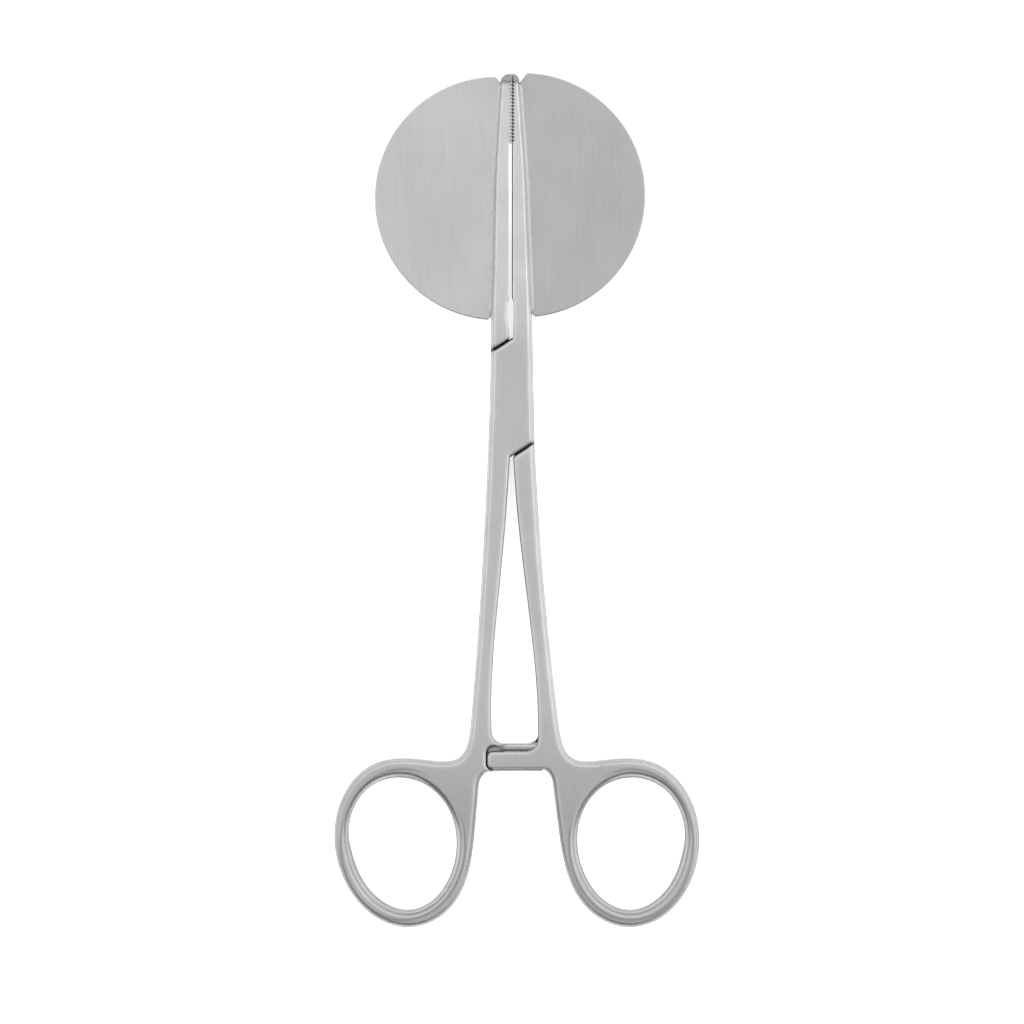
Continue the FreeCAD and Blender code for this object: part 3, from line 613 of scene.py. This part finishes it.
@dataclass(frozen=True)
class Ring:
    """Where a finger ring is, so that its back can be crowned and shade painted along its rim and near
    its hole. Lengths are in millimetres.
    """

    centre_x: float
    centre_y: float
    half_width: float
    half_height: float
    web_side: int
    wall: float = 3.0
    rim: float = 1.2
    crown: float = 0.42
    # Strengths of the painted shade lines along the rim and near the hole.
    line_dark: float = 0.45
    hole_dark: float = 0.5

    @classmethod
    def of(cls, side: Side) -> "Ring":
        """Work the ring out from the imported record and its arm's box.

        Args:
            side: The half of the clamp that the ring is on.

        Returns:
            The ring.
        """
        openings = frame["record"]["physics"]["openings"]
        low, high = next(o["box_m"] for o in openings if o["name"] == f"{side.word}_finger_ring")
        centre_x, centre_y = ((low[axis] + high[axis]) / 2 / MM for axis in range(2))
        arm_low, arm_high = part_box(side.arm)
        reach = max(side.value * arm_low.x, side.value * arm_high.x) / MM
        return cls(centre_x, centre_y, reach - side.value * centre_x, centre_y - arm_low.y / MM,
                   -side.value)

    def place(self, wires: Wires) -> bpy.types.Node:
        """Put the ring crown into a material, at this ring's place.

        Args:
            wires: The material's tree.

        Returns:
            The group's node.
        """
        return RingCrown().place(
            wires, Centre_X=self.centre_x, Centre_Y=self.centre_y, Half_width=self.half_width,
            Half_height=self.half_height, Wall=self.wall, Rim=self.rim, Web_side=self.web_side)


@dataclass(frozen=True)
class SteelFinish:
    """A stainless steel finish: its colours, its grain, its smoother edges, and the light and shade
    painted on its jaws, tip, edges, rims, flanks and crevices.
    """

    name: str
    colour: Colour = (0.64, 0.64, 0.635)
    # Painted light: the jaws are coloured lighter for how light falls on their slope.
    jaw_colour: Colour = (0.79, 0.79, 0.785)
    handle_colour: Colour = (0.5, 0.5, 0.495)
    # Painted shade on the nose tip.
    tip_colour: Colour = (0.3, 0.3, 0.3)
    jaw_from: float = 9.0
    jaw_to: float = 24.0
    handle_from: float = -58.0
    handle_to: float = -76.0
    tip_from: float = 58.9
    tip_to: float = 59.6
    # Near-black painted shade in the crevices and between the teeth.
    tarnish: Colour = (0.03, 0.03, 0.032)
    # Colour of the painted highlight along the edges.
    edge_colour: Colour = (0.78, 0.78, 0.77)
    # Grey painted shade on the rims, the flanks and the ring's lines.
    rim_colour: Colour = (0.12, 0.12, 0.12)
    roughness: float = 0.26
    line_width: float = 0.22
    line_length: float = 5.0
    line_brightness: float = 0.5
    grain_contrast: float = 0.27
    grain_relief: float = 0.3
    grain_roughness: float = 0.04
    pit_size: float = 0.11
    pit_relief: float = 0.12
    relief_strength: float = 0.6
    relief_height: float = 0.02 * MM
    cloud_size: float = 6.0
    cloud_contrast: float = 0.16
    cloud_roughness: float = 0.05
    edge_radius: float = 1.2 * MM
    jaw_edge_radius: float = 0.4 * MM
    # Strength of the painted highlight along the edges; the smoother roughness of the edges is real.
    edge_shine: float = 0.0
    edge_smoothness: float = 0.06
    # Strengths of the painted shade on the rims and the flanks.
    rim_dark: float = 0.85
    jaw_rim_dark: float = 0.12
    flank_dark: float = 0.5
    crevice_reach: float = 0.7 * MM
    # Strength of the painted shade in the crevices.
    crevice_dark: float = 0.92
    # Strength of the painted shade between the teeth.
    root_dark: float = 0.0
    ring: Ring | None = None

    def material(self) -> bpy.types.Material:
        """Build the material the first time and find it again later.

        Returns:
            The material.
        """
        found = bpy.data.materials.get(self.name)
        if found:
            return found
        material = bpy.data.materials.new(self.name)
        material.use_nodes = True
        wires = Wires(material.node_tree)
        shader = material.node_tree.nodes["Principled BSDF"]
        shader.inputs["Metallic"].default_value = 1.0
        grain = BrushedGrain().place(wires, Line_width=self.line_width,
                                     Line_length=self.line_length).outputs["Grain"]
        pits = SatinBlast().place(wires, Pit_size=self.pit_size).outputs["Pits"]
        cloud = Handling().place(wires, Cloud_size=self.cloud_size).outputs["Cloud"]
        away = PivotFace().place(wires).outputs["Away"]
        jaw = Zone().place(wires, From=self.jaw_from, To=self.jaw_to).outputs["Share"]
        edges = SoftEdges().place(wires)
        radius = wires.between(jaw, self.edge_radius, self.jaw_edge_radius)
        wires.join(wires.calc("MULTIPLY", away, radius), edges.inputs["Radius"])
        crevices = Crevices().place(wires, Reach=self.crevice_reach)
        depth = wires.calc("MULTIPLY", away, crevices.outputs["Depth"])
        colour = self.colour_of(wires, jaw, grain, cloud, edges, depth)
        normal = edges.outputs["Normal"]
        if self.ring:
            crown = self.ring.place(wires)
            normal = self.crowned(wires, crown, normal)
            colour = self.marked(wires, crown, colour)
        wires.join(colour, shader.inputs["Base Color"])
        wires.join(self.roughness_of(wires, grain, cloud, edges.outputs["Edge"]),
                   shader.inputs["Roughness"])
        wires.join(self.relief(wires, grain, pits, normal), shader.inputs["Normal"])
        return material

    def crowned(self, wires: Wires, crown: bpy.types.Node,
                normal: bpy.types.NodeSocket) -> bpy.types.NodeSocket:
        """Normal with the finger ring's ground back.

        Args:
            wires: The material's tree.
            crown: Node with the height of the ring's back.
            normal: Normal with rounded edges.

        Returns:
            The normal.
        """
        bump = wires.add("ShaderNodeBump")
        bump.inputs["Strength"].default_value = 1.0
        bump.inputs["Distance"].default_value = self.ring.crown * MM
        wires.join(crown.outputs["Height"], bump.inputs["Height"])
        wires.join(normal, bump.inputs["Normal"])
        return bump.outputs["Normal"]

    def marked(self, wires: Wires, crown: bpy.types.Node,
               colour: bpy.types.NodeSocket) -> bpy.types.NodeSocket:
        """Colour with the painted shade lines on the finger ring and the painted shade at the roots of
        the teeth.

        Args:
            wires: The material's tree.
            crown: Node with the masks of the ring's lines.
            colour: Colour of the metal.

        Returns:
            The colour.
        """
        # Painted shade lines along the ring's rim and near its hole.
        for mask, dark in (("Line", self.ring.line_dark), ("Hole shade", self.ring.hole_dark)):
            share = wires.calc("MULTIPLY", crown.outputs[mask], dark)
            colour = wires.mix(share, colour, self.rim_colour)
        # Painted shade between the teeth.
        roots = ToothRoots().place(wires).outputs["Root"]
        return wires.mix(wires.calc("MULTIPLY", roots, self.root_dark), colour, self.tarnish)

    def colour_of(self, wires: Wires, jaw: bpy.types.NodeSocket, grain: bpy.types.NodeSocket,
                  cloud: bpy.types.NodeSocket, edges: bpy.types.Node,
                  depth: bpy.types.NodeSocket) -> bpy.types.NodeSocket:
        """Colour of the metal with its grain and clouds, painted light on the jaws, painted shade on
        the tip, flanks, rims and crevices, and a painted highlight along the edges.

        Args:
            wires: The material's tree.
            jaw: Share of the jaw's finish and its painted light, from 0 to 1.
            grain: Brushing lines, from 0 to 1.
            cloud: Broad clouds, from 0 to 1.
            edges: Node with the masks of the edges, of their rim and of the flanks.
            depth: Mask of the crevices.

        Returns:
            The colour.
        """
        handle = Zone().place(wires, From=self.handle_from, To=self.handle_to).outputs["Share"]
        tip = Zone().place(wires, From=self.tip_from, To=self.tip_to).outputs["Share"]
        # Painted light on the jaws and painted shade on the nose tip.
        upper = wires.mix(jaw, self.colour, self.jaw_colour)
        tipped = wires.mix(tip, upper, self.tip_colour)
        base = wires.mix(handle, tipped, self.handle_colour)
        shade = wires.calc("ADD", wires.calc("MULTIPLY", grain, self.grain_contrast),
                           wires.calc("MULTIPLY", cloud, self.cloud_contrast))
        dark = tuple(self.line_brightness * part for part in self.colour)
        brushed = wires.mix(shade, base, dark)
        # Painted highlight along the edges.
        shine = wires.calc("MULTIPLY", edges.outputs["Edge"], self.edge_shine)
        edged = wires.mix(shine, brushed, self.edge_colour)
        # Painted shade on the steep flanks and on the rims of the edges.
        flank = wires.calc("MULTIPLY", edges.outputs["Flank"], self.flank_dark)
        sided = wires.mix(flank, edged, self.rim_colour)
        rim_dark = wires.between(jaw, self.rim_dark, self.jaw_rim_dark)
        rim = wires.calc("MULTIPLY", edges.outputs["Rim"], rim_dark)
        rimmed = wires.mix(rim, sided, self.rim_colour)
        # Painted shade in the crevices.
        return wires.mix(wires.calc("MULTIPLY", depth, self.crevice_dark), rimmed, self.tarnish)

    def roughness_of(self, wires: Wires, grain: bpy.types.NodeSocket,
                     cloud: bpy.types.NodeSocket, edge: bpy.types.NodeSocket) -> bpy.types.NodeSocket:
        """Roughness with its grain, clouds and smoother edges.

        Args:
            wires: The material's tree.
            grain: Brushing lines, from 0 to 1.
            cloud: Broad clouds, from 0 to 1.
            edge: Mask of the edges.

        Returns:
            The roughness.
        """
        lines = wires.between(grain, self.roughness - self.grain_roughness,
                              self.roughness + self.grain_roughness)
        clouds = wires.calc("MULTIPLY", cloud, self.cloud_roughness)
        smoother = wires.calc("MULTIPLY", edge, self.edge_smoothness)
        return wires.calc("SUBTRACT", wires.calc("ADD", lines, clouds), smoother)

    def relief(self, wires: Wires, grain: bpy.types.NodeSocket, pits: bpy.types.NodeSocket,
               normal: bpy.types.NodeSocket) -> bpy.types.NodeSocket:
        """Fine relief of the lines and pits over the rounded edges.

        Args:
            wires: The material's tree.
            grain: Brushing lines, from 0 to 1.
            pits: Blasting pits, from 0 to 1.
            normal: Normal with rounded edges.

        Returns:
            The normal.
        """
        height = wires.calc("ADD", wires.calc("MULTIPLY", grain, self.grain_relief),
                            wires.calc("MULTIPLY", pits, self.pit_relief))
        bump = wires.add("ShaderNodeBump")
        bump.inputs["Strength"].default_value = self.relief_strength
        bump.inputs["Distance"].default_value = self.relief_height
        wires.join(height, bump.inputs["Height"])
        wires.join(normal, bump.inputs["Normal"])
        return bump.outputs["Normal"]


ARM_STEEL = SteelFinish("satin arm steel")
# The plates get a painted highlight along their edges and painted shade on their rims and flanks.
PLATE_STEEL = SteelFinish(
    "brushed plate steel", colour=(0.57, 0.57, 0.565), jaw_colour=(0.57, 0.57, 0.565),
    roughness=0.34, line_width=0.12, line_length=7.0, grain_contrast=0.3, grain_relief=0.5,
    pit_relief=0.2, cloud_size=12.0, cloud_contrast=0.2, edge_radius=0.15 * MM,
    jaw_edge_radius=0.15 * MM, edge_shine=0.4, rim_dark=0.7, jaw_rim_dark=0.7, flank_dark=0.35)
BRAZE = SteelFinish(
    "silver braze", colour=(0.55, 0.55, 0.54), jaw_colour=(0.55, 0.55, 0.54), roughness=0.4,
    grain_contrast=0.03, grain_relief=0.02, pit_size=0.3, pit_relief=0.4, cloud_size=1.5,
    cloud_contrast=0.12, edge_radius=0.0, jaw_edge_radius=0.0, rim_dark=0.0, jaw_rim_dark=0.0,
    flank_dark=0.0, crevice_dark=0.0)


def dress(node: str, finish: SteelFinish) -> None:
    """Give every face of a CAD node one finish.

    Args:
        node: Name of the node.
        finish: Its finish.
    """
    mesh = frame["nodes"][node].data
    mesh.materials.clear()
    mesh.materials.append(finish.material())


@dataclass
class Arm:
    """One forged arm of the clamp, named by the side of its finger ring."""

    ring_side: Side
    root_dark: float
    finish: SteelFinish = ARM_STEEL

    def build(self) -> None:
        """Dress the forging, with the crown of its ring and the painted shade between its teeth."""
        finish = replace(self.finish, name=f"satin steel, {self.ring_side.word} ring",
                         root_dark=self.root_dark, ring=Ring.of(self.ring_side))
        dress(self.ring_side.arm, finish)


@dataclass
class PivotPin:
    """The pivot pin, ground flush and finished together with the box."""

    node: str = "pivot_pin"
    finish: SteelFinish = ARM_STEEL

    def build(self) -> None:
        """Dress the pin as the box round it."""
        dress(self.node, self.finish)


@dataclass
class Plate:
    """A half-disc plate."""

    side: Side
    brightness: float
    finish: SteelFinish = PLATE_STEEL

    def build(self) -> None:
        """Dress the plate, a little brighter or darker than the other one."""
        colour = tuple(self.brightness * part for part in self.finish.colour)
        finish = replace(self.finish, name=f"{self.finish.name}, {self.side.word}", colour=colour,
                         jaw_colour=colour, handle_colour=colour, tip_colour=colour)
        dress(f"{self.side.word}_plate", finish)


@dataclass
class Seam:
    """A run of silver braze in the corner between a plate and its jaw."""

    side: Side
    face: Face
    bead_heights: tuple[float, ...] = ()
    bead_radius: float = 0.34 * MM
    bead_swell: float = 0.25
    step: float = 0.25 * MM
    facets: int = 6
    fill: float = 0.5
    hollow: float = 1.5
    fullest: float = 1.25
    lumps: float = 0.16
    paces: tuple[float, ...] = (0.55, 1.3, 2.9, 5.3)
    end_length: float = 1.2 * MM
    blunt_end: float = 0.02
    sharp_from: float = math.radians(40)
    finish: SteelFinish = BRAZE

    @property
    def node(self) -> str:
        """The CAD node that the run stands for."""
        return f"{self.side.word}_seam_{self.face.word}"

    @cached_property
    def corners(self) -> list[tuple[float, float, float]]:
        """Where the straight run changes direction, read from its CAD node.

        Returns:
            Height along the clamp, and the inner and outer place across it.
        """
        levels: dict[float, list[float]] = {}
        for vertex in frame["nodes"][self.node].data.vertices:
            levels.setdefault(round(vertex.co.y, 6), []).append(abs(vertex.co.x))
        return [(y, min(places), max(places)) for y, places in sorted(levels.items())]

    def at(self, y: float) -> tuple[float, float]:
        """Inner and outer place of the run at a height along the clamp.

        Args:
            y: The height.

        Returns:
            The two places, both as distances from the middle of the clamp.
        """
        for (low, low_in, low_out), (high, high_in, high_out) in zip(self.corners, self.corners[1:]):
            if y <= high:
                share = (y - low) / (high - low)
                return low_in + share * (high_in - low_in), low_out + share * (high_out - low_out)
        return self.corners[-1][1:]

    def swelling(self, y: float, phases: list[float]) -> float:
        """How full the run is at a height: it was laid by hand in small puddles.

        Args:
            y: The height.
            phases: Where the waves of the puddles start.

        Returns:
            A factor near 1.
        """
        waves = [math.sin(y / MM * pace + phase) for pace, phase in zip(self.paces, phases)]
        beads = [math.exp(-((y - bead) / self.bead_radius) ** 2) for bead in self.bead_heights]
        return 1.0 + self.lumps * sum(waves) / len(waves) + self.bead_swell * sum(beads)

    def section(self, y: float, full: float, taper: float) -> list[Point]:
        """The run's hollow section at one height.

        Args:
            y: The height.
            full: How full the run is there.
            taper: How far it has grown from its end, from 0 to 1.

        Returns:
            Its points, from the jaw outwards.
        """
        low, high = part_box(self.node)
        flat = low.z if self.face is Face.FRONT else high.z
        inner, outer = self.at(y)
        points = []
        for index in range(self.facets + 1):
            share = index / self.facets
            across = inner + (outer - inner) * share * full * taper
            rise = self.fill * (high.z - low.z) * (1 - share) ** self.hollow
            lift = rise * min(full, self.fullest) * taper
            points.append((self.side.value * across, y, flat + self.face.value * lift))
        return points

    def sections(self) -> list[list[Point]]:
        """Follow the run from one tapered end to the other.

        Returns:
            Its sections.
        """
        low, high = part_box(self.node)
        chance = Random(f"{self.node} puddles")
        phases = [chance.uniform(0, 2 * math.pi) for _ in self.paces]
        count = round((high.y - low.y) / self.step)
        sections = []
        for index in range(count + 1):
            y = low.y + (high.y - low.y) * index / count
            end = min(1.0, min(index, count - index) * self.step / self.end_length)
            taper = math.sqrt(max(end * (2 - end), self.blunt_end))
            sections.append(self.section(y, self.swelling(y, phases), taper))
        return sections

    def mesh(self) -> bpy.types.Mesh:
        """Close the sections into one skin, smooth but for its hidden faces.

        Returns:
            The mesh.
        """
        shape = bmesh.new()
        rows = [[shape.verts.new(point) for point in section] for section in self.sections()]
        for row, following in zip(rows, rows[1:]):
            for index in range(self.facets):
                shape.faces.new((row[index], row[index + 1], following[index + 1],
                                 following[index]))
            shape.faces.new((row[-1], row[0], following[0], following[-1]))
        shape.faces.new(rows[0])
        shape.faces.new(list(reversed(rows[-1])))
        bmesh.ops.recalc_face_normals(shape, faces=shape.faces)
        mesh = bpy.data.meshes.new(f"{self.node}_run")
        shape.to_mesh(mesh)
        shape.free()
        mesh.shade_smooth()
        mesh.set_sharp_from_angle(angle=self.sharp_from)
        return mesh

    def build(self) -> None:
        """Lay the run in place of its CAD node."""
        mesh = self.mesh()
        mesh.materials.append(self.finish.material())
        run = bpy.data.objects.new(f"{self.node}_run", mesh)
        bpy.context.scene.collection.objects.link(run)
        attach(run, self.side.body)
        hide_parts(self.node)


@dataclass
class Studio:
    """Pale floor, soft light from all round and the camera of the photograph."""

    floor_size: float = 4.0
    floor_colour: Colour = (0.9, 0.9, 0.9)
    floor_roughness: float = 0.9
    floor_glow: float = 0.72
    dome: dict[float, float] = field(default_factory=lambda: {
        0.0: 0.4, 0.12: 0.45, 0.28: 0.85, 0.45: 1.4, 0.72: 1.45, 0.88: 1.1, 1.0: 0.8})
    sway: dict[float, float] = field(default_factory=lambda: {0.0: 0.3, 0.6: 1.0, 1.0: 0.0})
    brightest: float = 2.0
    from_right: float = 0.2
    dark_below: float = 1.2
    centre: tuple[float, float] = (0.09 * MM, -21.18 * MM)
    frame_width: float = 191.9 * MM
    front_face: float = 4.6 * MM
    distance: float = 0.7
    nearest: float = 0.05

    def build(self) -> None:
        """Set the floor, the light and the camera."""
        self.lay_floor()
        self.light_world()
        self.place_camera()
        bpy.context.scene.view_settings.view_transform = "Standard"

    def lay_floor(self) -> None:
        """Lay a plain floor that stays white and keeps a faint shadow."""
        half = self.floor_size / 2
        mesh = bpy.data.meshes.new("floor")
        corners = [(-half, -half, 0), (half, -half, 0), (half, half, 0), (-half, half, 0)]
        mesh.from_pydata(corners, [], [(0, 1, 2, 3)])
        material = bpy.data.materials.new("pale floor")
        material.use_nodes = True
        wires = Wires(material.node_tree)
        shader = material.node_tree.nodes["Principled BSDF"]
        shader.inputs["Base Color"].default_value = opaque(self.floor_colour)
        shader.inputs["Roughness"].default_value = self.floor_roughness
        shader.inputs["Specular IOR Level"].default_value = 0.0
        shader.inputs["Emission Color"].default_value = (1, 1, 1, 1)
        rays = wires.add("ShaderNodeLightPath")
        seen = wires.calc("ADD", rays.outputs["Is Camera Ray"], rays.outputs["Is Glossy Ray"])
        seen = wires.calc("ADD", seen, rays.outputs["Is Transmission Ray"], clamp=True)
        wires.join(wires.calc("MULTIPLY", seen, self.floor_glow), shader.inputs["Emission Strength"])
        mesh.materials.append(material)
        floor = bpy.data.objects.new("floor", mesh)
        bpy.context.scene.collection.objects.link(floor)

    def light_world(self) -> None:
        """Light the clamp from a soft dome with a bright ring and a darker belt below it."""
        world = bpy.data.worlds.new("soft dome")
        bpy.context.scene.world = world
        world.use_nodes = True
        wires = Wires(world.node_tree)
        direction = wires.split(wires.add("ShaderNodeTexCoord").outputs["Generated"])
        level = self.ramp_of(wires, direction.outputs["Z"], self.dome)
        sway = self.ramp_of(wires, direction.outputs["Z"], self.sway)
        below = wires.calc("MINIMUM", direction.outputs["Y"], 0.0)
        aside = wires.calc("ADD", wires.calc("MULTIPLY", direction.outputs["X"], self.from_right),
                           wires.calc("MULTIPLY", below, self.dark_below))
        light = wires.calc("ADD", level, wires.calc("MULTIPLY", sway, aside))
        wires.join(light, world.node_tree.nodes["Background"].inputs["Color"])

    def ramp_of(self, wires: Wires, height: bpy.types.NodeSocket,
                stops: dict[float, float]) -> bpy.types.NodeSocket:
        """Turn the height of a direction into a level of light.

        Args:
            wires: The world's tree.
            height: Height of the direction, 0 at the horizon and 1 overhead.
            stops: Level of light at each height.

        Returns:
            The level.
        """
        curve = wires.add("ShaderNodeFloatCurve")
        wires.join(wires.calc("MAXIMUM", height, 0.0), curve.inputs["Value"])
        points = curve.mapping.curves[0].points
        places = [(place, value / self.brightest) for place, value in sorted(stops.items())]
        points[0].location = places[0]
        points[-1].location = places[-1]
        for place in places[1:-1]:
            points.new(*place)
        curve.mapping.update()
        return wires.calc("MULTIPLY", curve.outputs["Value"], self.brightest)

    def place_camera(self) -> None:
        """Look straight down on the clamp from the photograph's place."""
        data = bpy.data.cameras.new("photo camera")
        data.lens = data.sensor_width * self.distance / self.frame_width
        data.clip_start = self.nearest
        camera = bpy.data.objects.new("photo camera", data)
        camera.location = Vector((*self.centre, self.front_face + self.distance))
        bpy.context.scene.collection.objects.link(camera)
        bpy.context.scene.camera = camera


# Strength of the painted shade between the teeth of each arm.
PAINTED_ROOT_SHADE = {Side.LEFT: 0.95, Side.RIGHT: 0.3}
PLATE_BRIGHTNESS = {Side.LEFT: 1.18, Side.RIGHT: 1.0}
BEAD_HEIGHTS = {
    Side.LEFT: tuple(height * MM for height in (21.0, 22.6, 24.9, 28.3, 31.2, 33.0, 35.6)),
    Side.RIGHT: (),
}


def main() -> None:
    """Build and dress every sub-assembly in order."""
    logging.basicConfig(level=logging.INFO, format="%(message)s")
    parts = {side.arm.replace("_", " "): Arm(side, PAINTED_ROOT_SHADE[side]) for side in Side}
    parts["pivot pin"] = PivotPin()
    for side in Side:
        parts[f"{side.word} plate"] = Plate(side, PLATE_BRIGHTNESS[side])
        for face in Face:
            parts[f"{side.word} seam, {face.word}"] = Seam(side, face, BEAD_HEIGHTS[side])
    parts["studio"] = Studio()
    for name, part in parts.items():
        part.build()
        LOG.info("built %s", name)


if __name__ == "__main__":
    main()
